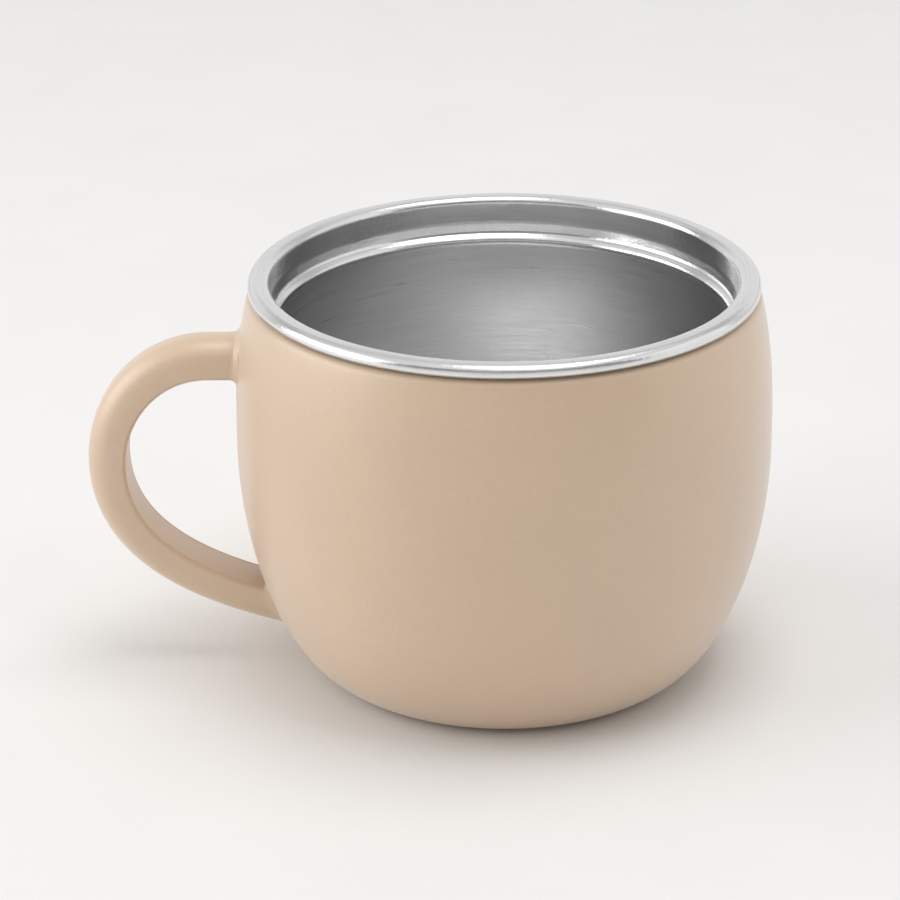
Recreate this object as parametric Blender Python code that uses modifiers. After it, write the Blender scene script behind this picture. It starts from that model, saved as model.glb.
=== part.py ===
"""Training cup: a double-walled steel mug with a coated shell and one hollow side handle.

The coated outer shell and the bare steel liner meet under the rolled rim. A pan closes the shell's foot and
carries the getter that keeps the vacuum. A cap and a soft pad cover the pan. The handle is a U-shaped channel
closed by a strip on its finger side. The cup stands on z = 0 with its axis on Z, and the handle points to -X.
"""

import math

import bmesh
import bpy

# Sizes are in metres and angles in degrees.

# Outer shell
BODY_DIAMETER = 0.0840  # widest outside diameter
CUP_HEIGHT = 0.0648  # table to the top of the rim
BELLY_HEIGHT = 0.0368  # table to the widest diameter
SHOULDER_INSET = 0.0025  # how far the wall draws in between belly and shoulder
SHOULDER_POWER = 2.95  # higher keeps the wall upright for longer
SHOULDER_ROUND = 0.0014  # radius where the wall turns in under the rim
FOOT_DIAMETER = 0.0540  # opening in the shell's foot, where the heel runs level
HEEL_POWER = 1.82  # shape of the heel: 2 is an ellipse, higher is squarer
SHELL_WALL = 0.0006

# Inner liner
LINER_WALL = 0.0005
VACUUM_GAP = 0.0030  # between the two walls at the belly
FLOOR_DIAMETER = 0.0200  # flat middle of the bowl's rounded bottom
BOWL_POWER = 2.05  # shape of the bowl below the belly: 2 is an ellipse, higher is squarer
BOWL_TOP_POWER = 2.4  # how late the bowl draws in towards the lid seat
RIM_OVERHANG = 0.0001  # rolled rim past the shoulder
RIM_WIDTH = 0.0035  # rolled rim from mouth to outer edge
RIM_HEIGHT = 0.0017  # rolled rim's outer skirt
RIM_OUTER_ROUND = 0.0012
RIM_INNER_ROUND = 0.0012
NECK_DEPTH = 0.00615  # top of the rim down to the crease behind the lid seat
NECK_RELIEF = 0.0003  # neck past the mouth, where it is widest
NECK_TAPER = 0.0005  # how far the neck draws in again to the crease
NECK_TAPER_HEIGHT = 0.00185
SEAT_WIDTH = 0.00095  # lid seat, from the crease inwards
SEAT_FALL = 0.0003  # lid seat's slope into the cup
SEAT_HEIGHT = 0.00105  # lid seat's bead, down to the bowl
SEAT_ROUND = 0.0012

# Base
PAD_STAND = 0.0003  # soft pad below the shell's foot
PAD_THICKNESS = 0.0012
PAD_ROUND = 0.0004
CAP_WALL = 0.0005
CAP_SKIRT = 0.0016  # height of the cap's upturned edge
CAP_ROUND = 0.0006
CAP_RING_WIDTH = 0.0020  # bare ring of the cap around the pad
PAN_WALL = 0.0006
PAN_ROUND = 0.0010
BOSS_DIAMETER = 0.0120  # raised middle of the pan
BOSS_RISE = 0.0008
EXHAUST_DIAMETER = 0.0020  # hole through which the air is drawn out
SEAL_DIAMETER = 0.0080  # button that closes that hole

# Getter, the pellet that keeps the vacuum
GETTER_DIAMETER = 0.0080
GETTER_THICKNESS = 0.0016
GETTER_OFFSET = 0.0140  # cup axis to pellet axis
GETTER_EDGE = 0.0002
GETTER_ROOM = 0.0012  # clip to the underside of the bowl
CLIP_WIDTH = 0.0040
CLIP_WALL = 0.0003
CLIP_FOOT = 0.0022

# Handle
HANDLE_DROP = 0.0131  # top of the rim down to the axis of the upper arm
HANDLE_REACH = 0.0207  # belly to the axis of the grip
HANDLE_BEND = 0.0162  # length of the upper bend, along the arm
GRIP_DROP = 0.0176  # axis of the upper arm down to the outermost point
GRIP_FULLNESS = 0.49  # how long the lower curve stays upright below the grip
HANDLE_FOOT = 0.0093  # table to the axis of the lower arm at the shell
HANDLE_FOOT_ANGLE = 15.8  # fall of the lower arm at the shell
ARM_FULLNESS = 0.68  # how long the lower curve runs straight from the shell
HANDLE_THICKNESS = 0.0058
HANDLE_WIDTH = 0.0088
HANDLE_ROUND = 0.0037  # outer edges of the channel
CHANNEL_WALL = 0.0008
STRIP_WALL = 0.0008
STRIP_RECESS = 0.0003  # strip below the channel's edges
ARM_ROOT = 0.0060  # length of arm that the shell cuts away

# Clearance between pieces that seat on each other
FIT_GAP = 0.0003

# Fineness of the round forms
TURN_STEPS = 40
BASE_STEPS = 32
SMALL_STEPS = 20
WALL_POINTS = 7
CURVE_POINTS = 9
ROUND_STEPS = 3
SMALL_ROUND_STEPS = 2
HANDLE_POINTS = 10
MERGE_DISTANCE = 0.000001
SHARP_ANGLE = math.radians(35)

# Share of a quarter bend's side that makes a cubic curve run round
CIRCLE_SHARE = 0.5523

# Places worked out from the sizes above
BELLY_RADIUS = BODY_DIAMETER / 2
SHOULDER_RADIUS = BELLY_RADIUS - SHOULDER_INSET
RIM_RADIUS = SHOULDER_RADIUS + RIM_OVERHANG
MOUTH_RADIUS = RIM_RADIUS - RIM_WIDTH
RIM_EDGE_Z = CUP_HEIGHT - RIM_HEIGHT
SHOULDER_Z = RIM_EDGE_Z - FIT_GAP
CREASE_Z = CUP_HEIGHT - NECK_DEPTH
NECK_RADIUS = MOUTH_RADIUS + NECK_RELIEF
CREASE_RADIUS = NECK_RADIUS - NECK_TAPER
SEAT_RADIUS = CREASE_RADIUS - SEAT_WIDTH
FOOT_RADIUS = FOOT_DIAMETER / 2
BOWL_RADIUS = BELLY_RADIUS - SHELL_WALL - VACUUM_GAP - LINER_WALL

PAN_RADIUS = FOOT_RADIUS - FIT_GAP
CAP_RADIUS = PAN_RADIUS - PAN_WALL - FIT_GAP
CAP_RECESS_RADIUS = CAP_RADIUS - CAP_RING_WIDTH
PAD_RADIUS = CAP_RECESS_RADIUS - FIT_GAP
CAP_RECESS_Z = PAD_THICKNESS + FIT_GAP
PAN_UNDER_Z = CAP_RECESS_Z + CAP_WALL + FIT_GAP
PAN_TOP_Z = PAN_UNDER_Z + PAN_WALL
BOSS_RADIUS = BOSS_DIAMETER / 2
EXHAUST_RADIUS = EXHAUST_DIAMETER / 2

GETTER_Z = PAN_TOP_Z + FIT_GAP
CLIP_FOOT_Z = PAN_TOP_Z + FIT_GAP
CLIP_UNDER_Z = GETTER_Z + GETTER_THICKNESS + FIT_GAP
LINER_UNDER_Z = CLIP_UNDER_Z + CLIP_WALL + GETTER_ROOM
FLOOR_Z = LINER_UNDER_Z + LINER_WALL

ARM_Z = CUP_HEIGHT - HANDLE_DROP
GRIP_X = -(BELLY_RADIUS + HANDLE_REACH)
GRIP_Z = ARM_Z - GRIP_DROP


def clear_scene():
    for item in list(bpy.data.objects):
        bpy.data.objects.remove(item, do_unlink=True)


def new_collection(name):
    collection = bpy.data.collections.new(name)
    bpy.context.scene.collection.children.link(collection)
    return collection


def new_material(name, colour, roughness, metallic):
    material = bpy.data.materials.new(name)
    material.use_nodes = True
    shader = material.node_tree.nodes["Principled BSDF"]
    shader.inputs["Base Color"].default_value = (*colour, 1.0)
    shader.inputs["Roughness"].default_value = roughness
    shader.inputs["Metallic"].default_value = metallic
    return material


def rounded(corners, steps=ROUND_STEPS):
    """Points (r, z) of a line through corners (r, z, radius), with an arc in each corner that has a radius."""
    points = []
    for index, (r, z, radius) in enumerate(corners):
        if radius <= 0 or index in (0, len(corners) - 1):
            points.append((r, z))
            continue
        before = direction((r, z), corners[index - 1])
        after = direction((r, z), corners[index + 1])
        half = math.acos(before[0] * after[0] + before[1] * after[1]) / 2
        middle = direction((0, 0), (before[0] + after[0], before[1] + after[1]))
        centre = (r + middle[0] * radius / math.sin(half), z + middle[1] * radius / math.sin(half))
        reach = radius / math.tan(half)
        first = (r + before[0] * reach - centre[0], z + before[1] * reach - centre[1])
        last = (r + after[0] * reach - centre[0], z + after[1] * reach - centre[1])
        start = math.atan2(first[1], first[0])
        turn = math.remainder(math.atan2(last[1], last[0]) - start, math.tau)
        for step in range(steps + 1):
            angle = start + turn * step / steps
            points.append((centre[0] + radius * math.cos(angle), centre[1] + radius * math.sin(angle)))
    return points


def direction(start, end):
    length = math.hypot(end[0] - start[0], end[1] - start[1])
    return ((end[0] - start[0]) / length, (end[1] - start[1]) / length)


def upper_wall(widest, top_radius, top_z, power):
    """Points up a wall from the belly, drawing in to top_radius at top_z. The belly itself is left out."""
    points = []
    for step in range(1, WALL_POINTS + 1):
        share = step / WALL_POINTS
        z = BELLY_HEIGHT + (top_z - BELLY_HEIGHT) * share
        points.append((widest - (widest - top_radius) * share**power, z))
    return points


def lower_wall(widest, level_radius, level_z, power):
    """Points down a wall from the belly to where it runs level, a quarter of a superellipse."""
    points = []
    for step in range(CURVE_POINTS + 1):
        angle = math.pi / 2 * step / CURVE_POINTS
        r = level_radius + (widest - level_radius) * math.cos(angle) ** (2 / power)
        z = BELLY_HEIGHT - (BELLY_HEIGHT - level_z) * math.sin(angle) ** (2 / power)
        points.append((r, z))
    return points


def shell_radius(z):
    """Outside radius of the shell's heel at a height below the belly."""
    share = (BELLY_HEIGHT - z) / (BELLY_HEIGHT - PAD_STAND)
    return FOOT_RADIUS + (BELLY_RADIUS - FOOT_RADIUS) * (1 - share**HEEL_POWER) ** (1 / HEEL_POWER)


def shell_outline():
    """Outside of the shell, from the lip under the rim down to the foot."""
    wall = upper_wall(BELLY_RADIUS, SHOULDER_RADIUS, SHOULDER_Z, SHOULDER_POWER)[::-1]
    lip_radius = NECK_RADIUS + LINER_WALL + FIT_GAP
    shoulder = [(lip_radius, SHOULDER_Z, 0), (*wall[0], SHOULDER_ROUND), (*wall[1], 0)]
    return rounded(shoulder) + wall[2:] + lower_wall(BELLY_RADIUS, FOOT_RADIUS, PAD_STAND, HEEL_POWER)


def liner_outline():
    """Wet side of the liner, from the middle of the floor up to the mouth and over the rim."""
    seat_z = CREASE_Z - SEAT_FALL
    lower = lower_wall(BOWL_RADIUS, FLOOR_DIAMETER / 2, FLOOR_Z, BOWL_POWER)[::-1]
    upper = upper_wall(BOWL_RADIUS, SEAT_RADIUS, seat_z - SEAT_HEIGHT, BOWL_TOP_POWER)
    mouth = [
        (*upper[-1], 0),
        (SEAT_RADIUS, seat_z, SEAT_ROUND),
        (CREASE_RADIUS, CREASE_Z, 0),
        (NECK_RADIUS, CREASE_Z + NECK_TAPER_HEIGHT, 0),
        (MOUTH_RADIUS, CUP_HEIGHT, RIM_INNER_ROUND),
        (RIM_RADIUS, CUP_HEIGHT, RIM_OUTER_ROUND),
        (RIM_RADIUS, RIM_EDGE_Z, 0),
    ]
    return [(0, FLOOR_Z)] + lower + upper[:-1] + rounded(mouth)


def pan_outline():
    """Vacuum side of the pan, from the exhaust hole over the boss and down the skirt."""
    boss_z = PAN_TOP_Z + BOSS_RISE
    corners = [
        (EXHAUST_RADIUS, boss_z, 0),
        (BOSS_RADIUS, boss_z, PAN_WALL),
        (BOSS_RADIUS + BOSS_RISE, PAN_TOP_Z, PAN_WALL),
        (PAN_RADIUS, PAN_TOP_Z, PAN_ROUND),
        (PAN_RADIUS, PAD_STAND, 0),
    ]
    return rounded(corners, SMALL_ROUND_STEPS)


def cap_outline():
    """Underside of the cap, from its upturned edge over the ring to the middle of the pad's recess."""
    corners = [
        (CAP_RADIUS, PAD_STAND + CAP_SKIRT, 0),
        (CAP_RADIUS, PAD_STAND, CAP_ROUND),
        (CAP_RECESS_RADIUS, PAD_STAND, CAP_ROUND),
        (CAP_RECESS_RADIUS, CAP_RECESS_Z, 0),
        (0, CAP_RECESS_Z, 0),
    ]
    return rounded(corners, SMALL_ROUND_STEPS)


def pad_outline():
    corners = [
        (0, PAD_THICKNESS, 0),
        (PAD_RADIUS, PAD_THICKNESS, 0),
        (PAD_RADIUS, 0, PAD_ROUND),
        (0, 0, 0),
    ]
    return rounded(corners, SMALL_ROUND_STEPS)


def seal_outline():
    """Button in the boss, flush with the pan below, with a stem that fills the exhaust hole."""
    stem_radius = EXHAUST_RADIUS - FIT_GAP
    stem_z = PAN_TOP_Z + BOSS_RISE
    button_z = PAN_UNDER_Z + BOSS_RISE - FIT_GAP
    button_radius = SEAL_DIAMETER / 2
    return [
        (0, stem_z),
        (stem_radius, stem_z),
        (stem_radius, button_z),
        (button_radius, button_z),
        (button_radius, PAN_UNDER_Z),
        (0, PAN_UNDER_Z),
    ]


def shell_cutter_outline():
    """The whole body as one solid, grown by the fit gap, to trim the handle's arms to the shell."""
    wall = upper_wall(BELLY_RADIUS, SHOULDER_RADIUS, SHOULDER_Z, SHOULDER_POWER)[::-1]
    wall += lower_wall(BELLY_RADIUS, FOOT_RADIUS, PAD_STAND, HEEL_POWER)
    grown = [(r + FIT_GAP, z) for r, z in wall]
    return [(0, SHOULDER_Z)] + grown + [(0, PAD_STAND)]


def add_mesh(name, mesh, collection, material=None):
    item = bpy.data.objects.new(name, mesh)
    collection.objects.link(item)
    if material:
        mesh.materials.append(material)
    return item


def add_turned(name, outline, steps, collection, material=None, wall=None):
    """Turn an outline (r, z) about Z. A wall makes the turned skin a sheet of that thickness behind the skin."""
    shape = bmesh.new()
    points = [shape.verts.new((r, 0, z)) for r, z in outline]
    for first, second in zip(points, points[1:]):
        shape.edges.new((first, second))
    mesh = bpy.data.meshes.new(name)
    shape.to_mesh(mesh)
    shape.free()
    item = add_mesh(name, mesh, collection, material)
    turn = item.modifiers.new("Turn", "SCREW")
    turn.axis = "Z"
    turn.angle = math.tau
    turn.steps = steps
    turn.render_steps = steps
    turn.use_merge_vertices = True
    turn.merge_threshold = MERGE_DISTANCE
    turn.use_smooth_shade = True
    if wall:
        sheet = item.modifiers.new("Wall", "SOLIDIFY")
        sheet.thickness = wall
        sheet.offset = -1
        sheet.use_even_offset = True
    return item


def handle_path():
    """Control points (x, z) of the handle's axis, each with its two curve handles."""
    arm_start = -BELLY_RADIUS + ARM_ROOT
    bend_x = GRIP_X + HANDLE_BEND
    foot_x = -shell_radius(HANDLE_FOOT)
    fall = math.radians(HANDLE_FOOT_ANGLE)
    along = (math.cos(fall), -math.sin(fall))
    arm_run = (foot_x - GRIP_X) * ARM_FULLNESS
    grip_run = (GRIP_Z - HANDLE_FOOT) * GRIP_FULLNESS
    root = (foot_x + along[0] * ARM_ROOT, HANDLE_FOOT + along[1] * ARM_ROOT)
    return [
        ((arm_start, ARM_Z), None, None),
        ((bend_x, ARM_Z), None, (bend_x - HANDLE_BEND * CIRCLE_SHARE, ARM_Z)),
        ((GRIP_X, GRIP_Z), (GRIP_X, GRIP_Z + GRIP_DROP * CIRCLE_SHARE), (GRIP_X, GRIP_Z - grip_run)),
        ((foot_x, HANDLE_FOOT), (foot_x - along[0] * arm_run, HANDLE_FOOT - along[1] * arm_run), None),
        (root, None, None),
    ]


def channel_section():
    """U-shaped section (outwards, across), open on the finger side."""
    half_width = HANDLE_WIDTH / 2
    outer = HANDLE_THICKNESS / 2
    inner_round = HANDLE_ROUND - CHANNEL_WALL
    outside = [(-outer, -half_width, 0), (outer, -half_width, HANDLE_ROUND)]
    outside += [(outer, half_width, HANDLE_ROUND), (-outer, half_width, 0)]
    hollow = [(-outer, half_width - CHANNEL_WALL, 0)]
    hollow += [(outer - CHANNEL_WALL, half_width - CHANNEL_WALL, inner_round)]
    hollow += [(outer - CHANNEL_WALL, CHANNEL_WALL - half_width, inner_round)]
    hollow += [(-outer, CHANNEL_WALL - half_width, 0)]
    return rounded(outside + hollow)


def strip_section():
    """Flat section (outwards, across) that closes the channel on the finger side."""
    half_width = HANDLE_WIDTH / 2 - CHANNEL_WALL - FIT_GAP
    inner = STRIP_RECESS - HANDLE_THICKNESS / 2
    outer = inner + STRIP_WALL
    return [(inner, -half_width), (outer, -half_width), (outer, half_width), (inner, half_width)]


def add_section_curve(name, section):
    curve = bpy.data.curves.new(name, "CURVE")
    curve.dimensions = "2D"
    spline = curve.splines.new("POLY")
    spline.points.add(len(section) - 1)
    for point, (outwards, across) in zip(spline.points, section):
        point.co = (outwards, across, 0, 1)
    spline.use_cyclic_u = True
    item = bpy.data.objects.new(name, curve)
    bpy.context.scene.collection.objects.link(item)
    return item


def add_path_curve(name, section_curve):
    """The handle's axis as a curve in the XZ plane, with the section drawn along it and closed ends."""
    curve = bpy.data.curves.new(name, "CURVE")
    curve.dimensions = "2D"
    curve.fill_mode = "NONE"
    curve.bevel_mode = "OBJECT"
    curve.bevel_object = section_curve
    curve.use_fill_caps = True
    curve.resolution_u = HANDLE_POINTS
    curve.render_resolution_u = HANDLE_POINTS
    path = handle_path()
    spline = curve.splines.new("BEZIER")
    spline.bezier_points.add(len(path) - 1)
    for point, (place, before, after) in zip(spline.bezier_points, path):
        point.co = (*place, 0)
        point.handle_left_type = "FREE" if before else "VECTOR"
        point.handle_right_type = "FREE" if after else "VECTOR"
        if before:
            point.handle_left = (*before, 0)
        if after:
            point.handle_right = (*after, 0)
    item = bpy.data.objects.new(name, curve)
    item.rotation_euler = (math.pi / 2, 0, 0)
    bpy.context.scene.collection.objects.link(item)
    return item


def add_swept(name, section, cutter, collection, material):
    """Draw a section along the handle's axis, make it a mesh and trim both ends to the shell."""
    section_curve = add_section_curve(name + "_section", section)
    path_curve = add_path_curve(name + "_path", section_curve)
    bpy.context.view_layer.update()
    drawn = path_curve.evaluated_get(bpy.context.evaluated_depsgraph_get())
    mesh = bpy.data.meshes.new_from_object(drawn)
    shape = bmesh.new()
    shape.from_mesh(mesh)
    bmesh.ops.remove_doubles(shape, verts=shape.verts, dist=MERGE_DISTANCE)
    bmesh.ops.recalc_face_normals(shape, faces=shape.faces)
    shape.to_mesh(mesh)
    shape.free()
    mesh.name = name
    mesh.materials.clear()
    item = add_mesh(name, mesh, collection, material)
    item.matrix_world = path_curve.matrix_world
    mesh.shade_smooth()
    mesh.set_sharp_from_angle(angle=SHARP_ANGLE)
    bpy.data.objects.remove(path_curve, do_unlink=True)
    bpy.data.objects.remove(section_curve, do_unlink=True)
    trim = item.modifiers.new("Trim to shell", "BOOLEAN")
    trim.operation = "DIFFERENCE"
    trim.object = cutter
    return item


def add_getter(collection, material):
    """Round pellet lying on the pan, beside the boss."""
    shape = bmesh.new()
    radius = GETTER_DIAMETER / 2
    bmesh.ops.create_cone(
        shape, cap_ends=True, segments=SMALL_STEPS, radius1=radius, radius2=radius, depth=GETTER_THICKNESS
    )
    mesh = bpy.data.meshes.new("getter_pellet")
    shape.to_mesh(mesh)
    shape.free()
    pellet = add_mesh("getter_pellet", mesh, collection, material)
    pellet.location = (GETTER_OFFSET, 0, GETTER_Z + GETTER_THICKNESS / 2)
    edge = pellet.modifiers.new("Edge", "BEVEL")
    edge.width = GETTER_EDGE
    edge.segments = 1
    return pellet


def add_clip(collection, material):
    """Strap bent over the pellet, with a foot on the pan at each end."""
    reach = GETTER_DIAMETER / 2 + FIT_GAP
    top = CLIP_UNDER_Z - CLIP_FOOT_Z
    outline = [(-reach - CLIP_FOOT, 0), (-reach, 0), (-reach, top), (reach, top), (reach, 0), (reach + CLIP_FOOT, 0)]
    shape = bmesh.new()
    points = [shape.verts.new((-CLIP_WIDTH / 2, y, z)) for y, z in outline]
    edges = [shape.edges.new(pair) for pair in zip(points, points[1:])]
    drawn = bmesh.ops.extrude_edge_only(shape, edges=edges)
    far_side = [part for part in drawn["geom"] if isinstance(part, bmesh.types.BMVert)]
    bmesh.ops.translate(shape, verts=far_side, vec=(CLIP_WIDTH, 0, 0))
    bmesh.ops.recalc_face_normals(shape, faces=shape.faces)
    mesh = bpy.data.meshes.new("getter_clip")
    shape.to_mesh(mesh)
    shape.free()
    clip = add_mesh("getter_clip", mesh, collection, material)
    clip.location = (GETTER_OFFSET, 0, CLIP_FOOT_Z)
    sheet = clip.modifiers.new("Wall", "SOLIDIFY")
    sheet.thickness = CLIP_WALL
    sheet.offset = -1
    sheet.use_even_offset = True
    return clip


def build():
    clear_scene()
    parts = new_collection("training_cup")
    cutters = new_collection("training_cup_cutters")
    coat = new_material("sand_coat", (0.60, 0.45, 0.32), 0.62, 0.0)
    strip_coat = new_material("sand_coat_strip", (0.58, 0.43, 0.31), 0.62, 0.0)
    channel_coat = new_material("sand_coat_channel", (0.60, 0.45, 0.32), 0.62, 0.0)
    liner_steel = new_material("brushed_liner_steel", (0.60, 0.60, 0.60), 0.28, 1.0)
    pan_steel = new_material("pan_steel", (0.55, 0.55, 0.55), 0.40, 1.0)
    cap_steel = new_material("cap_steel", (0.58, 0.58, 0.58), 0.35, 1.0)
    seal_glass = new_material("seal_glass", (0.06, 0.06, 0.07), 0.25, 0.0)
    pellet_grey = new_material("pellet_grey", (0.22, 0.22, 0.23), 0.75, 0.3)
    clip_steel = new_material("clip_steel", (0.56, 0.56, 0.56), 0.35, 1.0)
    pad_silicone = new_material("pad_silicone", (0.46, 0.38, 0.31), 0.85, 0.0)

    add_turned("outer_shell", shell_outline(), TURN_STEPS, parts, coat, SHELL_WALL)
    add_turned("inner_liner", liner_outline(), TURN_STEPS, parts, liner_steel, LINER_WALL)
    add_turned("base_pan", pan_outline(), BASE_STEPS, parts, pan_steel, PAN_WALL)
    add_turned("base_cap", cap_outline(), BASE_STEPS, parts, cap_steel, CAP_WALL)
    add_turned("foot_pad", pad_outline(), BASE_STEPS, parts, pad_silicone)
    add_turned("exhaust_seal", seal_outline(), SMALL_STEPS, parts, seal_glass)
    add_getter(parts, pellet_grey)
    add_clip(parts, clip_steel)

    cutter = add_turned("shell_cutter", shell_cutter_outline(), TURN_STEPS, cutters)
    cutter.hide_render = True
    cutter.display_type = "WIRE"
    add_swept("handle_channel", channel_section(), cutter, parts, channel_coat)
    add_swept("handle_strip", strip_section(), cutter, parts, strip_coat)


build()
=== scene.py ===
"""Training cup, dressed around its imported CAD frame.

The coated shell, the bare steel liner, the hollow handle and the base are modelled again with
finer curves, in the places that the CAD solids hold. The sealed pieces inside the vacuum keep
their CAD solids and get finishes. Sizes are in metres, angles in degrees and colours in linear
RGB. The cup stands on z = 0 and the handle points to -X. A value named ROUND says how far from
its corner a rounding starts.
"""

import math

import bmesh
import bpy
from mathutils import Matrix, Vector
from mathutils.geometry import interpolate_bezier


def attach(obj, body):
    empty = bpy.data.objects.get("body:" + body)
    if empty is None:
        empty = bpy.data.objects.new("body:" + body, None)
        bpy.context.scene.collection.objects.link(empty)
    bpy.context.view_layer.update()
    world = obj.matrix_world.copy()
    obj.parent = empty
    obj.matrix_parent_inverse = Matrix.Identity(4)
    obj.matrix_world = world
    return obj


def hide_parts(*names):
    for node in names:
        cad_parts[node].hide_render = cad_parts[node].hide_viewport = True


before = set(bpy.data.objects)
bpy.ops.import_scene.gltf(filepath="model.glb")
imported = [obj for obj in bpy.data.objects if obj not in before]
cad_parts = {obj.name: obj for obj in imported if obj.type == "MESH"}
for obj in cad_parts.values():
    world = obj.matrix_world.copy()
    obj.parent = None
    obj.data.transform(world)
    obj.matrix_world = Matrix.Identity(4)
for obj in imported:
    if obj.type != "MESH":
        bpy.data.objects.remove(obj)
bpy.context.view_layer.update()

# Shell
BELLY_RADIUS = 0.0420
BELLY_HEIGHT = 0.0368
SHOULDER_RADIUS = 0.0395
SHOULDER_Z = 0.0628
SHOULDER_POWER = 2.95
SHOULDER_ROUND = 0.0014
SHOULDER_CLEAR = 1.1 * SHOULDER_ROUND
FOOT_RADIUS = 0.0270
FOOT_Z = 0.0003
HEEL_POWER = 1.82
SHELL_WALL = 0.0006
LIP_RADIUS = 0.0372

# Liner
LINER_WALL = 0.0005
BOWL_RADIUS = 0.0379
BOWL_POWER = 2.05
BOWL_TOP_POWER = 2.4
BOWL_TOP_Z = 0.0573
BOWL_TOP_ROUND = 0.0004
FLOOR_RADIUS = 0.0100
FLOOR_Z = 0.0071
SEAT_RADIUS = 0.03495
SEAT_EDGE_RADIUS = 0.03502
SEAT_EDGE_Z = 0.0583
SEAT_ROUND = 0.0008
CREASE_RADIUS = 0.0359
CREASE_Z = 0.05865
CREASE_ROUND = 0.0001
TOE_RADIUS = 0.03608
TOE_Z = 0.05902
TOE_ROUND = 0.0001
NECK_RADIUS = 0.0364
NECK_Z = 0.0605
NECK_ROUND = 0.0004
MOUTH_RADIUS = 0.0361
CUP_HEIGHT = 0.0648
RIM_RADIUS = 0.0396
RIM_EDGE_Z = 0.0631
RIM_INNER_ROUND = 0.0012
RIM_OUTER_ROUND = 0.0012

# Base
PAN_WALL = 0.0006
PAN_RADIUS = 0.0267
PAN_ROUND = 0.0010
PAN_TOP_Z = 0.0029
BOSS_RADIUS = 0.0060
BOSS_RISE = 0.0008
EXHAUST_RADIUS = 0.0010
CAP_WALL = 0.0005
CAP_RADIUS = 0.0258
CAP_SKIRT_Z = 0.0019
CAP_ROUND = 0.0006
CAP_RECESS_RADIUS = 0.0238
CAP_RECESS_Z = 0.0015
PAD_RADIUS = 0.0235
PAD_THICKNESS = 0.0012
PAD_ROUND = 0.0004

# Handle
ARM_Z = 0.0519
GRIP_X = -0.06255
GRIP_Z = 0.0341
HANDLE_BEND = 0.0162
CIRCLE_SHARE = 0.5523
GRIP_FULLNESS = 0.49
ARM_FULLNESS = 0.68
HANDLE_FOOT_Z = 0.0093
HANDLE_FOOT_ANGLE = 15.8
ARM_ROOT = 0.0060
HANDLE_THICKNESS = 0.0061
HANDLE_WIDTH = 0.0088
HANDLE_ROUND = 0.0037
CHANNEL_WALL = 0.0008
CHANNEL_LIP_ROUND = 0.0007
CHANNEL_INNER_ROUND = 0.00006
STRIP_WALL = 0.0008
STRIP_RECESS = 0.00002
STRIP_GAP = 0.00004
STRIP_EDGE_ROUND = 0.00006
WELD_ROUND = 0.0012
WELD_SINK = 0.00005
SLOPE_STEP = 0.0001

# Fineness
TURN_STEPS = 192
WALL_POINTS = 24
CURVE_POINTS = 40
ROUND_STEPS = 8
ARM_POINTS = 40
BEND_POINTS = 36
LOWER_POINTS = 48
ROOT_POINTS = 24
MERGE_DISTANCE = 0.000001
SHARP_ANGLE = 35

# Camera, fitted to the outline in the photograph
CAMERA_TARGET = (-0.00855, 0.0, 0.03515)
CAMERA_DISTANCE = 0.5056
CAMERA_PITCH = 23.18
CAMERA_ROLL = 0.45
CAMERA_LENS = 128.0
CAMERA_NEAR = 0.01
SENSOR_WIDTH = 36.0

# Light: levels of the surroundings by direction, the spans of the direction's Y or Z over which
# one level blends into the next, and lamps with place, size and power
FRONT_LEVEL = 0.80
FRONT_TOP_LEVEL = 0.19
SIDE_LEVEL = 0.22
BACKDROP_LEVEL = 0.84
BACKDROP_TOP_LEVEL = 0.50
OVERHEAD_FRONT_LEVEL = 0.78
OVERHEAD_BACK_LEVEL = 0.66
FRONT_TOP_SPAN = (0.16, 0.28)
FRONT_SIDE_SPAN = (-0.90, -0.55)
BACKDROP_TOP_SPAN = (0.40, 0.55)
BACKDROP_SIDE_SPAN = (0.2, 0.7)
OVERHEAD_SPAN = (-0.4, 0.4)
OVERHEAD_EDGE_SPAN = (0.58, 0.68)
LAMP_TARGET = (0.0, 0.0, 0.03)
LAMPS = [
    ("left_softbox", (-0.97, -0.12, 0.40), (1.0, 0.7), 6.0),
    ("right_softbox", (0.95, -0.05, 0.40), (1.0, 0.8), 1.7),
    ("top_softbox", (0.14, -0.03, 1.00), (0.6, 0.5), 3.7),
]

# Floor
FLOOR_HALF_SIZE = 6.0
FLOOR_CELLS = 8
FLOOR_LIGHT = (0.817, 0.809, 0.799)
FLOOR_DARK = (0.800, 0.792, 0.782)
FLOOR_CLOUD_SCALE = 30.0

# Finishes: pairs of colours, spans of roughness, and noise with its scale in cycles per metre
NOISE_SPAN = (0.3, 0.7)
FULL_SPAN = (0, 1)
COAT_LIGHT = (0.653, 0.473, 0.318)
COAT_DARK = (0.608, 0.440, 0.295)
PEEL_SHARE = 0.45
CLOUD_SHARE = 0.55
SHADE_SPAN = (0.32, 0.68)
PEEL_BUMP = 0.35
PEEL_DEPTH = 0.00002
SATIN_LIGHT = (0.67, 0.67, 0.67)
SATIN_DARK = (0.59, 0.59, 0.59)
SATIN_ROUGHNESS = (0.27, 0.35)
# Lighter steel for the lid seat, neck and rim: partly their polish, partly painted reflection that
# brightens them
POLISH_PAINTED_REFLECTION_LIGHT = (0.85, 0.85, 0.85)
POLISH_PAINTED_REFLECTION_DARK = (0.77, 0.77, 0.77)
BRIGHT_ROUGHNESS = (0.20, 0.30)
POLISH_BLEND = 0.0004
BRIGHT_GRAIN_TURN = 0.25
ROLL_SCALE = 1400.0
ROLL_SHARE = 8.0
LINER_BUMP = 1.0
LINER_DEPTH = 0.000004
BASE_ROUGHNESS = (0.3, 0.44)
BASE_BUMP = 0.3
BASE_DEPTH = 0.00002
PAN_LIGHT = (0.60, 0.60, 0.60)
PAN_DARK = (0.48, 0.48, 0.485)
CAP_LIGHT = (0.64, 0.64, 0.64)
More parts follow.
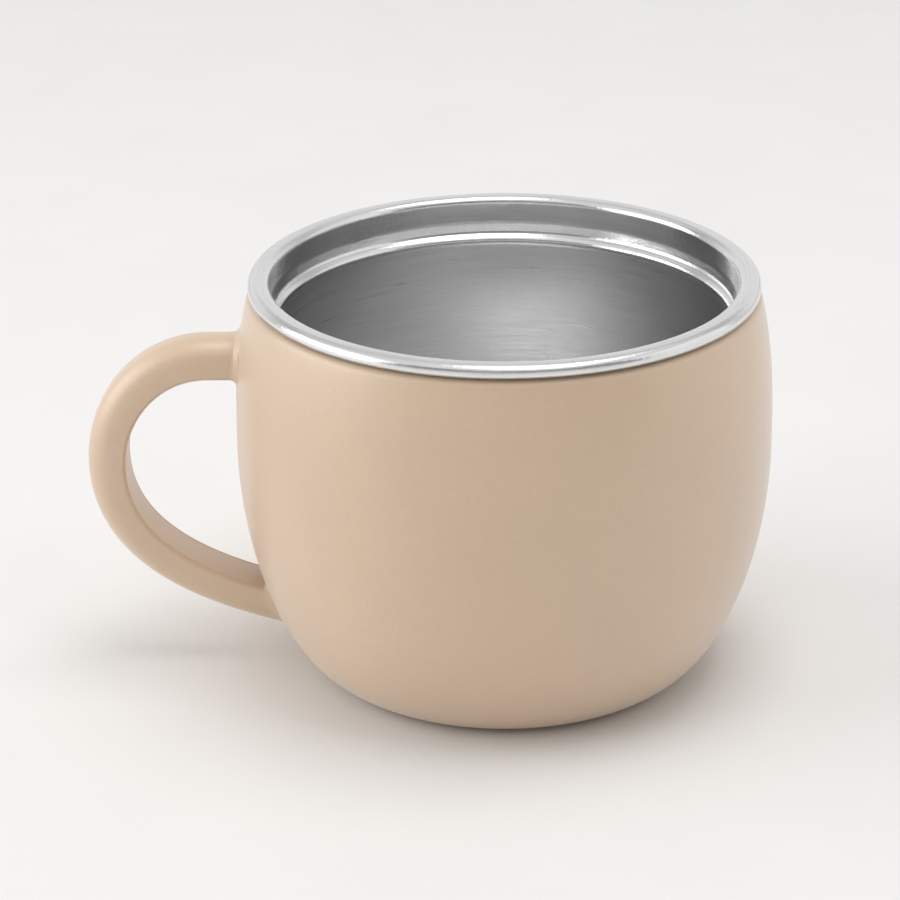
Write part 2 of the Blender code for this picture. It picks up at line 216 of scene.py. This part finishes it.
CAP_DARK = (0.52, 0.52, 0.525)
CLIP_LIGHT = (0.60, 0.60, 0.60)
CLIP_DARK = (0.50, 0.50, 0.505)
MOTTLE_DEPTH = 0.00003


# Outlines of the turned pieces: corners (r, z, how far from the corner its rounding starts)

def upper_wall(widest, top_radius, top_z, power):
    """Corners up a wall that draws in above the belly. The belly itself is left out."""
    corners = []
    for step in range(1, WALL_POINTS + 1):
        share = step / WALL_POINTS
        r = widest - (widest - top_radius) * share**power
        corners.append((r, BELLY_HEIGHT + (top_z - BELLY_HEIGHT) * share, 0))
    return corners


def lower_wall(widest, level_radius, level_z, power):
    """Corners down a wall from the belly to where it runs level, a quarter of a superellipse."""
    corners = []
    for step in range(CURVE_POINTS + 1):
        angle = math.pi / 2 * step / CURVE_POINTS
        r = level_radius + (widest - level_radius) * math.cos(angle) ** (2 / power)
        z = BELLY_HEIGHT - (BELLY_HEIGHT - level_z) * math.sin(angle) ** (2 / power)
        corners.append((r, z, 0))
    return corners


def shell_radius(z):
    """Outside radius of the shell at a height."""
    if z >= BELLY_HEIGHT:
        share = (min(z, SHOULDER_Z) - BELLY_HEIGHT) / (SHOULDER_Z - BELLY_HEIGHT)
        return BELLY_RADIUS - (BELLY_RADIUS - SHOULDER_RADIUS) * share**SHOULDER_POWER
    share = (BELLY_HEIGHT - max(z, FOOT_Z)) / (BELLY_HEIGHT - FOOT_Z)
    return FOOT_RADIUS + (BELLY_RADIUS - FOOT_RADIUS) * (1 - share**HEEL_POWER) ** (1 / HEEL_POWER)


def shell_outline():
    """Outside of the shell, from the lip under the rim down to the foot."""
    wall = upper_wall(BELLY_RADIUS, SHOULDER_RADIUS, SHOULDER_Z, SHOULDER_POWER)[::-1]
    heel = lower_wall(BELLY_RADIUS, FOOT_RADIUS, FOOT_Z, HEEL_POWER)
    shoulder = (SHOULDER_RADIUS, SHOULDER_Z, SHOULDER_ROUND)
    below_shoulder = [corner for corner in wall if corner[1] < SHOULDER_Z - SHOULDER_CLEAR]
    return [(LIP_RADIUS, SHOULDER_Z, 0), shoulder] + below_shoulder + heel


def liner_outline():
    """Wet side of the liner, from the middle of the floor up to the mouth and over the rim."""
    bowl = lower_wall(BOWL_RADIUS, FLOOR_RADIUS, FLOOR_Z, BOWL_POWER)[::-1]
    bowl += upper_wall(BOWL_RADIUS, SEAT_RADIUS, BOWL_TOP_Z, BOWL_TOP_POWER)
    bowl[-1] = (SEAT_RADIUS, BOWL_TOP_Z, BOWL_TOP_ROUND)
    mouth = [
        (SEAT_EDGE_RADIUS, SEAT_EDGE_Z, SEAT_ROUND),
        (CREASE_RADIUS, CREASE_Z, CREASE_ROUND),
        (TOE_RADIUS, TOE_Z, TOE_ROUND),
        (NECK_RADIUS, NECK_Z, NECK_ROUND),
        (MOUTH_RADIUS, CUP_HEIGHT, RIM_INNER_ROUND),
        (RIM_RADIUS, CUP_HEIGHT, RIM_OUTER_ROUND),
        (RIM_RADIUS, RIM_EDGE_Z, 0),
    ]
    return [(0, FLOOR_Z, 0)] + bowl + mouth


def pan_outline():
    """Vacuum side of the pan, from the exhaust hole over the boss and down the skirt."""
    boss_z = PAN_TOP_Z + BOSS_RISE
    return [
        (EXHAUST_RADIUS, boss_z, 0),
        (BOSS_RADIUS, boss_z, PAN_WALL / 2),
        (BOSS_RADIUS + BOSS_RISE, PAN_TOP_Z, PAN_WALL / 2),
        (PAN_RADIUS, PAN_TOP_Z, PAN_ROUND),
        (PAN_RADIUS, FOOT_Z, 0),
    ]


def cap_outline():
    """Underside of the cap, from its upturned edge over the bare ring into the pad's recess."""
    return [
        (CAP_RADIUS, CAP_SKIRT_Z, 0),
        (CAP_RADIUS, FOOT_Z, CAP_ROUND),
        (CAP_RECESS_RADIUS, FOOT_Z, CAP_ROUND),
        (CAP_RECESS_RADIUS, CAP_RECESS_Z, 0),
        (0, CAP_RECESS_Z, 0),
    ]


def pad_outline():
    """The pad's whole section, from its upper middle round the edge to its lower middle."""
    return [
        (0, PAD_THICKNESS, 0),
        (PAD_RADIUS, PAD_THICKNESS, PAD_ROUND / 2),
        (PAD_RADIUS, 0, PAD_ROUND),
        (0, 0, 0),
    ]


def shell_solid_outline():
    """The shell's outside as a solid, drawn in a little, to trim the handle to it."""
    wall = upper_wall(BELLY_RADIUS, SHOULDER_RADIUS, SHOULDER_Z, SHOULDER_POWER)[::-1]
    wall += lower_wall(BELLY_RADIUS, FOOT_RADIUS, FOOT_Z, HEEL_POWER)
    drawn_in = [(r - WELD_SINK, z, 0) for r, z, _ in wall]
    return [(0, SHOULDER_Z, 0)] + drawn_in + [(0, FOOT_Z, 0)]


# Modelling

def draw_outline(shape, places, rounds, closed=False):
    """Vertices joined by edges. A corner is rounded off where its number in rounds is above 0."""
    corners = [shape.verts.new(place) for place in places]
    ends = corners[1:] + corners[:1] if closed else corners[1:]
    for first, second in zip(corners, ends):
        shape.edges.new((first, second))
    for corner, reach in zip(corners, rounds):
        if reach:
            bmesh.ops.bevel(
                shape, geom=[corner], offset=reach, offset_type="OFFSET", affect="VERTICES",
                segments=ROUND_STEPS, profile=0.5, material=-1,
            )


def keep_mesh(shape, name):
    """Turn a finished bmesh into an object at the origin."""
    mesh = bpy.data.meshes.new(name)
    shape.to_mesh(mesh)
    shape.free()
    mesh.shade_smooth()
    mesh.set_sharp_from_angle(angle=math.radians(SHARP_ANGLE))
    piece = bpy.data.objects.new(name, mesh)
    bpy.context.scene.collection.objects.link(piece)
    return piece


def turn(name, outline, wall=None):
    """Spin an outline about the cup's axis. A wall gives the skin a thickness behind it."""
    shape = bmesh.new()
    places = [(r, 0, z) for r, z, _ in outline]
    draw_outline(shape, places, [reach for _, _, reach in outline])
    bmesh.ops.spin(
        shape, geom=shape.verts[:] + shape.edges[:], cent=(0, 0, 0), axis=(0, 0, 1),
        angle=math.tau, steps=TURN_STEPS, use_merge=True,
    )
    bmesh.ops.remove_doubles(shape, verts=shape.verts, dist=MERGE_DISTANCE)
    bmesh.ops.recalc_face_normals(shape, faces=shape.faces)
    piece = keep_mesh(shape, name)
    if wall:
        sheet = piece.modifiers.new("Wall", "SOLIDIFY")
        sheet.thickness = wall
        sheet.offset = -1
        sheet.use_even_offset = True
    return piece


def handle_stations():
    """Frames along the handle's axis. X points away from the fingers, Y across and Z along it."""
    foot_x = -shell_radius(HANDLE_FOOT_Z)
    fall = math.radians(HANDLE_FOOT_ANGLE)
    along = Vector((math.cos(fall), 0, -math.sin(fall)))
    arm = Vector((ARM_ROOT - BELLY_RADIUS, 0, ARM_Z))
    bend = Vector((GRIP_X + HANDLE_BEND, 0, ARM_Z))
    grip = Vector((GRIP_X, 0, GRIP_Z))
    foot = Vector((foot_x, 0, HANDLE_FOOT_Z))
    root = foot + along * ARM_ROOT
    up = Vector((0, 0, 1))
    bend_run = Vector((-HANDLE_BEND * CIRCLE_SHARE, 0, 0))
    bend_rise = up * (ARM_Z - GRIP_Z) * CIRCLE_SHARE
    grip_fall = -up * (GRIP_Z - HANDLE_FOOT_Z) * GRIP_FULLNESS
    foot_run = -along * (foot_x - GRIP_X) * ARM_FULLNESS
    line = [arm.lerp(bend, step / ARM_POINTS) for step in range(ARM_POINTS)]
    line += interpolate_bezier(bend, bend + bend_run, grip + bend_rise, grip, BEND_POINTS)[:-1]
    line += interpolate_bezier(grip, grip + grip_fall, foot + foot_run, foot, LOWER_POINTS)[:-1]
    line += [foot.lerp(root, step / ROOT_POINTS) for step in range(ROOT_POINTS + 1)]
    stations = []
    for index, place in enumerate(line):
        run = (line[min(index + 1, len(line) - 1)] - line[max(index - 1, 0)]).normalized()
        across = Vector((0, 1, 0))
        outwards = across.cross(run)
        turned = Matrix((outwards, across, run)).transposed().to_4x4()
        stations.append(Matrix.Translation(place) @ turned)
    return stations


def draw_along_handle(section, rounds):
    """A bmesh of a closed section (outwards, across) drawn along the stations, ends capped."""
    shape = bmesh.new()
    places = [(outwards, across, 0) for outwards, across in section]
    draw_outline(shape, places, rounds, closed=True)
    stations = handle_stations()
    ring = shape.edges[:]
    bmesh.ops.contextual_create(shape, geom=ring)
    bmesh.ops.transform(shape, matrix=stations[0], verts=shape.verts)
    for before, after in zip(stations, stations[1:]):
        drawn = bmesh.ops.extrude_edge_only(shape, edges=ring)["geom"]
        ring = [part for part in drawn if isinstance(part, bmesh.types.BMEdge)]
        verts = [part for part in drawn if isinstance(part, bmesh.types.BMVert)]
        bmesh.ops.transform(shape, matrix=after @ before.inverted(), verts=verts)
    bmesh.ops.contextual_create(shape, geom=ring)
    bmesh.ops.recalc_face_normals(shape, faces=shape.faces)
    return shape


def flare_to_shell(shape):
    """Spread the ends of the handle onto the shell in a round, as the ground weld does."""
    shape.normal_update()
    pushed = []
    for vert in shape.verts:
        r = math.hypot(vert.co.x, vert.co.y)
        z = vert.co.z
        rise = shell_radius(z + SLOPE_STEP) - shell_radius(z - SLOPE_STEP)
        slope = rise / (2 * SLOPE_STEP)
        gap = (r - shell_radius(z)) / math.hypot(1, slope)
        if gap >= WELD_ROUND:
            continue
        share = 1 - max(gap, 0) / WELD_ROUND
        pushed.append((vert, WELD_ROUND * (1 - math.sqrt(1 - share**2))))
    for vert, push in pushed:
        vert.co += vert.normal * push


def trim_to_shell(piece):
    """Cut the ends of a handle piece off along the shell. Returns the piece with its new mesh."""
    shell_solid = turn("shell_solid", shell_solid_outline())
    trim = piece.modifiers.new("Trim", "BOOLEAN")
    trim.operation = "DIFFERENCE"
    trim.solver = "EXACT"
    trim.object = shell_solid
    bpy.context.view_layer.update()
    trimmed = piece.evaluated_get(bpy.context.evaluated_depsgraph_get())
    shape = bmesh.new()
    shape.from_mesh(trimmed.to_mesh())
    trimmed.to_mesh_clear()
    name = piece.name
    bpy.data.objects.remove(piece, do_unlink=True)
    bpy.data.objects.remove(shell_solid, do_unlink=True)
    bmesh.ops.remove_doubles(shape, verts=shape.verts, dist=MERGE_DISTANCE)
    return keep_mesh(shape, name)


def make_channel():
    """U-shaped outer part of the handle, open on the finger side."""
    half = HANDLE_WIDTH / 2
    outer = HANDLE_THICKNESS / 2
    inner_half = half - CHANNEL_WALL
    inner_outer = outer - CHANNEL_WALL
    inner_round = HANDLE_ROUND - CHANNEL_WALL
    section = [(-outer, -half), (outer, -half), (outer, half), (-outer, half)]
    section += [(-outer, inner_half), (inner_outer, inner_half)]
    section += [(inner_outer, -inner_half), (-outer, -inner_half)]
    rounds = [CHANNEL_LIP_ROUND, HANDLE_ROUND, HANDLE_ROUND, CHANNEL_LIP_ROUND]
    rounds += [CHANNEL_INNER_ROUND, inner_round, inner_round, CHANNEL_INNER_ROUND]
    shape = draw_along_handle(section, rounds)
    flare_to_shell(shape)
    return trim_to_shell(keep_mesh(shape, "coated_handle_channel"))


def make_strip():
    """Flat strip that closes the channel on the finger side."""
    half = HANDLE_WIDTH / 2 - CHANNEL_WALL - STRIP_GAP
    inner = STRIP_RECESS - HANDLE_THICKNESS / 2
    outer = inner + STRIP_WALL
    section = [(inner, -half), (outer, -half), (outer, half), (inner, half)]
    shape = draw_along_handle(section, [STRIP_EDGE_ROUND, 0, 0, STRIP_EDGE_ROUND])
    flare_to_shell(shape)
    return trim_to_shell(keep_mesh(shape, "coated_handle_strip"))


# Finishes

def new_finish(name):
    """An empty node material with its Principled shader."""
    material = bpy.data.materials.new(name)
    material.use_nodes = True
    return material, material.node_tree.nodes["Principled BSDF"]


def add_node(tree, kind, **settings):
    """A node of a kind, with its settings."""
    node = tree.nodes.new(kind)
    for setting, value in settings.items():
        setattr(node, setting, value)
    return node


def add_math(tree, operation, first, second=None):
    """A Math node. Its inputs are numbers or sockets."""
    node = add_node(tree, "ShaderNodeMath", operation=operation)
    for socket, value in zip(node.inputs, (first, second)):
        if isinstance(value, bpy.types.NodeSocket):
            tree.links.new(value, socket)
        elif value is not None:
            socket.default_value = value
    return node.outputs["Value"]


def add_range(tree, value, span, to_span=FULL_SPAN):
    """A Map Range node from span to span, held at its ends. Limits are numbers or sockets."""
    node = add_node(tree, "ShaderNodeMapRange")
    tree.links.new(value, node.inputs["Value"])
    names = ("From Min", "From Max", "To Min", "To Max")
    for name, limit in zip(names, (*span, *to_span)):
        if isinstance(limit, bpy.types.NodeSocket):
            tree.links.new(limit, node.inputs[name])
        else:
            node.inputs[name].default_value = limit
    return node.outputs["Result"]


def add_noise(tree, vector, scale, detail, dimensions="3D"):
    """A Noise node. Its scale is a number or a socket."""
    node = add_node(tree, "ShaderNodeTexNoise", noise_dimensions=dimensions)
    tree.links.new(vector, node.inputs["Vector"])
    node.inputs["Detail"].default_value = detail
    if isinstance(scale, bpy.types.NodeSocket):
        tree.links.new(scale, node.inputs["Scale"])
    else:
        node.inputs["Scale"].default_value = scale
    return node


def add_mix(tree, share, first, second):
    """A colour mix. The colours are sockets or RGB values. A Mix node has them at 6 and 7."""
    node = add_node(tree, "ShaderNodeMix", data_type="RGBA")
    tree.links.new(share, node.inputs["Factor"])
    for socket, colour in zip((node.inputs[6], node.inputs[7]), (first, second)):
        if isinstance(colour, bpy.types.NodeSocket):
            tree.links.new(colour, socket)
        else:
            socket.default_value = (*colour, 1)
    return node.outputs[2]


def set_inputs(node, **values):
    """Set a node's inputs. They are given by the sockets' names, with _ for a space."""
    for name, value in values.items():
        node.inputs[name.replace("_", " ")].default_value = value


def add_bump(tree, height, strength, distance):
    """A normal that is bumped by a height."""
    node = add_node(tree, "ShaderNodeBump")
    tree.links.new(height, node.inputs["Height"])
    set_inputs(node, Strength=strength, Distance=distance)
    return node.outputs["Normal"]


def new_group(name, inputs, outputs):
    """A node group with named sockets. Inputs are (name, kind, value) and outputs (name, kind)."""
    group = bpy.data.node_groups.new(name, "ShaderNodeTree")
    for socket_name, kind, value in inputs:
        socket = group.interface.new_socket(socket_name, in_out="INPUT", socket_type=kind)
        socket.default_value = value
    for socket_name, kind in outputs:
        group.interface.new_socket(socket_name, in_out="OUTPUT", socket_type=kind)
    return group, group.nodes.new("NodeGroupInput"), group.nodes.new("NodeGroupOutput")


def powder_grain_group():
    """Cloudy shade and fine orange peel of a baked powder coat."""
    group, given, made = new_group(
        "powder_grain",
        [
            ("Light", "NodeSocketColor", (0.64, 0.48, 0.35, 1)),
            ("Dark", "NodeSocketColor", (0.60, 0.45, 0.32, 1)),
            ("Cloud Scale", "NodeSocketFloat", 60.0),
            ("Peel Scale", "NodeSocketFloat", 1400.0),
            ("Smoothest", "NodeSocketFloat", 0.48),
            ("Roughest", "NodeSocketFloat", 0.58),
        ],
        [
            ("Colour", "NodeSocketColor"),
            ("Roughness", "NodeSocketFloat"),
            ("Height", "NodeSocketFloat"),
        ],
    )
    place = add_node(group, "ShaderNodeTexCoord").outputs["Object"]
    cloud = add_noise(group, place, given.outputs["Cloud Scale"], detail=4).outputs["Fac"]
    peel = add_noise(group, place, given.outputs["Peel Scale"], detail=2).outputs["Fac"]
    speck = add_math(group, "MULTIPLY", peel, PEEL_SHARE)
    shade = add_math(group, "ADD", add_math(group, "MULTIPLY", cloud, CLOUD_SHARE), speck)
    share = add_range(group, shade, SHADE_SPAN)
    colour = add_mix(group, share, given.outputs["Dark"], given.outputs["Light"])
    limits = (given.outputs["Smoothest"], given.outputs["Roughest"])
    roughness = add_range(group, cloud, NOISE_SPAN, limits)
    group.links.new(colour, made.inputs["Colour"])
    group.links.new(roughness, made.inputs["Roughness"])
    group.links.new(peel, made.inputs["Height"])
    return group


def turned_grain_group():
    """Fine rings that run round the cup's axis, from turning and brushing, with no seam."""
    group, given, made = new_group(
        "turned_grain",
        [
            ("Run", "NodeSocketFloat", 120.0),
            ("Rings", "NodeSocketFloat", 5000.0),
            ("Cloud Scale", "NodeSocketFloat", 90.0),
        ],
        [("Streak", "NodeSocketFloat"), ("Cloud", "NodeSocketFloat")],
    )
    place = add_node(group, "ShaderNodeTexCoord").outputs["Object"]
    axes = add_node(group, "ShaderNodeSeparateXYZ")
    group.links.new(place, axes.inputs["Vector"])
    x, y = axes.outputs["X"], axes.outputs["Y"]
    squares = [add_math(group, "MULTIPLY", axis, axis) for axis in (x, y)]
    radius = add_math(group, "SQRT", add_math(group, "ADD", *squares))
    drawn = add_node(group, "ShaderNodeCombineXYZ")
    for name, scale in (("X", "Run"), ("Y", "Run"), ("Z", "Rings")):
        scaled = add_math(group, "MULTIPLY", axes.outputs[name], given.outputs[scale])
        group.links.new(scaled, drawn.inputs[name])
    streak = add_noise(group, drawn.outputs["Vector"], scale=1.0, detail=3, dimensions="4D")
    ring = add_math(group, "MULTIPLY", radius, given.outputs["Rings"])
    group.links.new(ring, streak.inputs["W"])
    cloud = add_noise(group, place, given.outputs["Cloud Scale"], detail=3).outputs["Fac"]
    group.links.new(streak.outputs["Fac"], made.inputs["Streak"])
    group.links.new(cloud, made.inputs["Cloud"])
    return group


def use_group(tree, group, **values):
    """Place a group in a material, with its own values."""
    node = add_node(tree, "ShaderNodeGroup", node_tree=group)
    set_inputs(node, **values)
    return node


def coat_finish(name, group, light, dark):
    """Matte powder coat with a soft sheen."""
    material, shader = new_finish(name)
    tree = material.node_tree
    grain = use_group(tree, group, Light=(*light, 1), Dark=(*dark, 1))
    tree.links.new(grain.outputs["Colour"], shader.inputs["Base Color"])
    tree.links.new(grain.outputs["Roughness"], shader.inputs["Roughness"])
    normal = add_bump(tree, grain.outputs["Height"], PEEL_BUMP, PEEL_DEPTH)
    tree.links.new(normal, shader.inputs["Normal"])
    set_inputs(shader, Specular_IOR_Level=0.5, Sheen_Weight=0.3, Sheen_Roughness=0.45)
    set_inputs(shader, Coat_Weight=1.0, Coat_Roughness=0.38, Coat_IOR=1.75)
    return material


def liner_finish(name, group):
    """Satin rings in the bowl, and on the lid seat, neck and rim a smoother polish with a lighter
    steel colour that is partly painted reflection.
    """
    material, shader = new_finish(name)
    tree = material.node_tree
    grain = use_group(tree, group, Run=110.0, Rings=2800.0, Cloud_Scale=70.0)
    place = add_node(tree, "ShaderNodeTexCoord").outputs["Object"]
    axes = add_node(tree, "ShaderNodeSeparateXYZ")
    tree.links.new(place, axes.inputs["Vector"])
    polish_span = (BOWL_TOP_Z - POLISH_BLEND, BOWL_TOP_Z + POLISH_BLEND)
    polish_and_painted_reflection = add_range(tree, axes.outputs["Z"], polish_span)
    streak = add_range(tree, grain.outputs["Streak"], NOISE_SPAN)
    satin_steel = add_mix(tree, streak, SATIN_DARK, SATIN_LIGHT)
    polish_painted_reflection_steel = add_mix(tree, streak, POLISH_PAINTED_REFLECTION_DARK, POLISH_PAINTED_REFLECTION_LIGHT)
    # Above the bowl the steel colour is lighter: partly polish, partly painted reflection
    colour = add_mix(tree, polish_and_painted_reflection, satin_steel, polish_painted_reflection_steel)
    tree.links.new(colour, shader.inputs["Base Color"])
    satin = add_range(tree, grain.outputs["Streak"], NOISE_SPAN, SATIN_ROUGHNESS)
    bright = add_range(tree, grain.outputs["Cloud"], NOISE_SPAN, BRIGHT_ROUGHNESS)
    roughness = add_range(tree, polish_and_painted_reflection, FULL_SPAN, (satin, bright))
    tree.links.new(roughness, shader.inputs["Roughness"])
    ripple = add_noise(tree, place, ROLL_SCALE, detail=3).outputs["Fac"]
    rolled = add_math(tree, "MULTIPLY", add_math(tree, "MULTIPLY", ripple, polish_and_painted_reflection), ROLL_SHARE)
    height = add_math(tree, "ADD", streak, rolled)
    normal = add_bump(tree, height, LINER_BUMP, LINER_DEPTH)
    tree.links.new(normal, shader.inputs["Normal"])
    set_inputs(shader, Metallic=1.0, Anisotropic=0.5)
    grain_turn = add_math(tree, "MULTIPLY", polish_and_painted_reflection, BRIGHT_GRAIN_TURN)
    tree.links.new(grain_turn, shader.inputs["Anisotropic Rotation"])
    around = add_node(tree, "ShaderNodeTangent", direction_type="RADIAL", axis="Z")
    tree.links.new(around.outputs["Tangent"], shader.inputs["Tangent"])
    return material


def base_steel_finish(name, group, light, dark):
    """Satin steel with turned rings, for the plain pressed pieces."""
    material, shader = new_finish(name)
    tree = material.node_tree
    grain = use_group(tree, group, Run=160.0, Rings=3600.0, Cloud_Scale=110.0)
    colour = add_mix(tree, grain.outputs["Streak"], dark, light)
    tree.links.new(colour, shader.inputs["Base Color"])
    roughness = add_range(tree, grain.outputs["Streak"], NOISE_SPAN, BASE_ROUGHNESS)
    tree.links.new(roughness, shader.inputs["Roughness"])
    normal = add_bump(tree, grain.outputs["Streak"], BASE_BUMP, BASE_DEPTH)
    tree.links.new(normal, shader.inputs["Normal"])
    set_inputs(shader, Metallic=1.0)
    return material


def grained_finish(name, light, dark, scale, roughness, bump, metallic=0.0):
    """A plain matte or glassy finish with a fine mottle."""
    material, shader = new_finish(name)
    tree = material.node_tree
    place = add_node(tree, "ShaderNodeTexCoord").outputs["Object"]
    mottle = add_noise(tree, place, scale, detail=4).outputs["Fac"]
    share = add_range(tree, mottle, NOISE_SPAN)
    tree.links.new(add_mix(tree, share, dark, light), shader.inputs["Base Color"])
    rough = add_range(tree, mottle, NOISE_SPAN, roughness)
    tree.links.new(rough, shader.inputs["Roughness"])
    tree.links.new(add_bump(tree, mottle, bump, MOTTLE_DEPTH), shader.inputs["Normal"])
    set_inputs(shader, Metallic=metallic)
    return material


# Stage

def make_floor():
    """A wide sheet of pale paper."""
    shape = bmesh.new()
    bmesh.ops.create_grid(
        shape, x_segments=FLOOR_CELLS, y_segments=FLOOR_CELLS, size=FLOOR_HALF_SIZE,
    )
    floor = keep_mesh(shape, "studio_floor")
    material, shader = new_finish("studio_paper")
    tree = material.node_tree
    place = add_node(tree, "ShaderNodeTexCoord").outputs["Object"]
    cloud = add_noise(tree, place, FLOOR_CLOUD_SCALE, detail=3).outputs["Fac"]
    share = add_range(tree, cloud, NOISE_SPAN)
    colour = add_mix(tree, share, FLOOR_DARK, FLOOR_LIGHT)
    tree.links.new(colour, shader.inputs["Base Color"])
    set_inputs(shader, Roughness=0.9, Specular_IOR_Level=0.1)
    floor.data.materials.append(material)
    return floor


def make_camera():
    """The camera that looks at the cup from the photograph's side."""
    pitch = math.radians(CAMERA_PITCH)
    roll = math.radians(CAMERA_ROLL)
    back = Vector((0, -math.cos(pitch), math.sin(pitch)))
    right = Vector((1, 0, 0))
    up = back.cross(right)
    turned_right = right * math.cos(roll) - up * math.sin(roll)
    turned_up = right * math.sin(roll) + up * math.cos(roll)
    data = bpy.data.cameras.new("photo_camera")
    data.lens = CAMERA_LENS
    data.sensor_width = SENSOR_WIDTH
    data.clip_start = CAMERA_NEAR
    camera = bpy.data.objects.new("photo_camera", data)
    place = Vector(CAMERA_TARGET) + back * CAMERA_DISTANCE
    turned = Matrix((turned_right, turned_up, back)).transposed().to_4x4()
    camera.matrix_world = Matrix.Translation(place) @ turned
    bpy.context.scene.collection.objects.link(camera)
    bpy.context.scene.camera = camera


def add_lamp(name, place, size, power):
    """A rectangular area lamp that faces the cup."""
    data = bpy.data.lights.new(name, "AREA")
    data.shape = "RECTANGLE"
    data.size, data.size_y = size
    data.energy = power
    lamp = bpy.data.objects.new(name, data)
    lamp.location = place
    aim = Vector(LAMP_TARGET) - Vector(place)
    lamp.rotation_euler = aim.to_track_quat("-Z", "Y").to_euler()
    bpy.context.scene.collection.objects.link(lamp)


def make_world():
    """Soft surroundings: dim sides, and brighter light low in front, behind and overhead."""
    world = bpy.data.worlds.new("studio")
    bpy.context.scene.world = world
    world.use_nodes = True
    tree = world.node_tree
    background = tree.nodes["Background"]
    background.inputs["Color"].default_value = (1, 1, 1, 1)
    axes = add_node(tree, "ShaderNodeSeparateXYZ")
    direction = add_node(tree, "ShaderNodeTexCoord").outputs["Generated"]
    tree.links.new(direction, axes.inputs["Vector"])
    y, z = axes.outputs["Y"], axes.outputs["Z"]
    backdrop = add_range(tree, z, BACKDROP_TOP_SPAN, (BACKDROP_LEVEL, BACKDROP_TOP_LEVEL))
    front = add_range(tree, z, FRONT_TOP_SPAN, (FRONT_LEVEL, FRONT_TOP_LEVEL))
    near = add_range(tree, y, FRONT_SIDE_SPAN, (front, SIDE_LEVEL))
    around = add_range(tree, y, BACKDROP_SIDE_SPAN, (near, backdrop))
    overhead = add_range(tree, y, OVERHEAD_SPAN, (OVERHEAD_FRONT_LEVEL, OVERHEAD_BACK_LEVEL))
    level = add_range(tree, z, OVERHEAD_EDGE_SPAN, (around, overhead))
    tree.links.new(level, background.inputs["Strength"])


def dress():
    """Give every node its finer piece, or a finish on its CAD solid."""
    powder = powder_grain_group()
    rings = turned_grain_group()
    coat = coat_finish("sand_powder_coat", powder, COAT_LIGHT, COAT_DARK)
    liner_steel = liner_finish("brushed_liner_steel", rings)
    pan_steel = base_steel_finish("pan_steel", rings, PAN_LIGHT, PAN_DARK)
    cap_steel = base_steel_finish("cap_steel", rings, CAP_LIGHT, CAP_DARK)
    silicone = grained_finish(
        "soft_silicone", light=(0.48, 0.40, 0.33), dark=(0.43, 0.355, 0.29),
        scale=900.0, roughness=(0.75, 0.9), bump=0.4,
    )

    shell = turn("coated_shell", shell_outline(), SHELL_WALL)
    liner = turn("steel_liner", liner_outline(), LINER_WALL)
    pan = turn("steel_base_pan", pan_outline(), PAN_WALL)
    cap = turn("steel_base_cap", cap_outline(), CAP_WALL)
    pad = turn("silicone_foot_pad", pad_outline())
    pieces = [
        (shell, coat, "sand_coat", "outer_shell"),
        (liner, liner_steel, "liner_steel", "inner_liner"),
        (pan, pan_steel, "base_steel", "base_pan"),
        (cap, cap_steel, "base_steel", "base_cap"),
        (pad, silicone, "pad_silicone", "foot_pad"),
        (make_channel(), coat, "sand_coat", "handle_channel"),
        (make_strip(), coat, "sand_coat", "handle_strip"),
    ]
    for piece, finish, slot, node in pieces:
        piece.data.materials.append(finish)
        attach(piece, "root")
        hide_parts(node)

    sealed = {
        "exhaust_seal": grained_finish(
            "fired_glass", light=(0.07, 0.07, 0.08), dark=(0.04, 0.04, 0.045),
            scale=700.0, roughness=(0.15, 0.3), bump=0.2,
        ),
        "getter_pellet": grained_finish(
            "pressed_getter", light=(0.26, 0.26, 0.27), dark=(0.17, 0.17, 0.18),
            scale=2200.0, roughness=(0.65, 0.85), bump=0.6, metallic=0.3,
        ),
        "getter_clip": base_steel_finish("clip_steel", rings, CLIP_LIGHT, CLIP_DARK),
    }
    for node, finish in sealed.items():
        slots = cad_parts[node].data.materials
        slots.clear()
        slots.append(finish)


dress()
make_floor()
make_world()
for lamp in LAMPS:
    add_lamp(*lamp)
make_camera()
bpy.context.scene.view_settings.view_transform = "Standard"
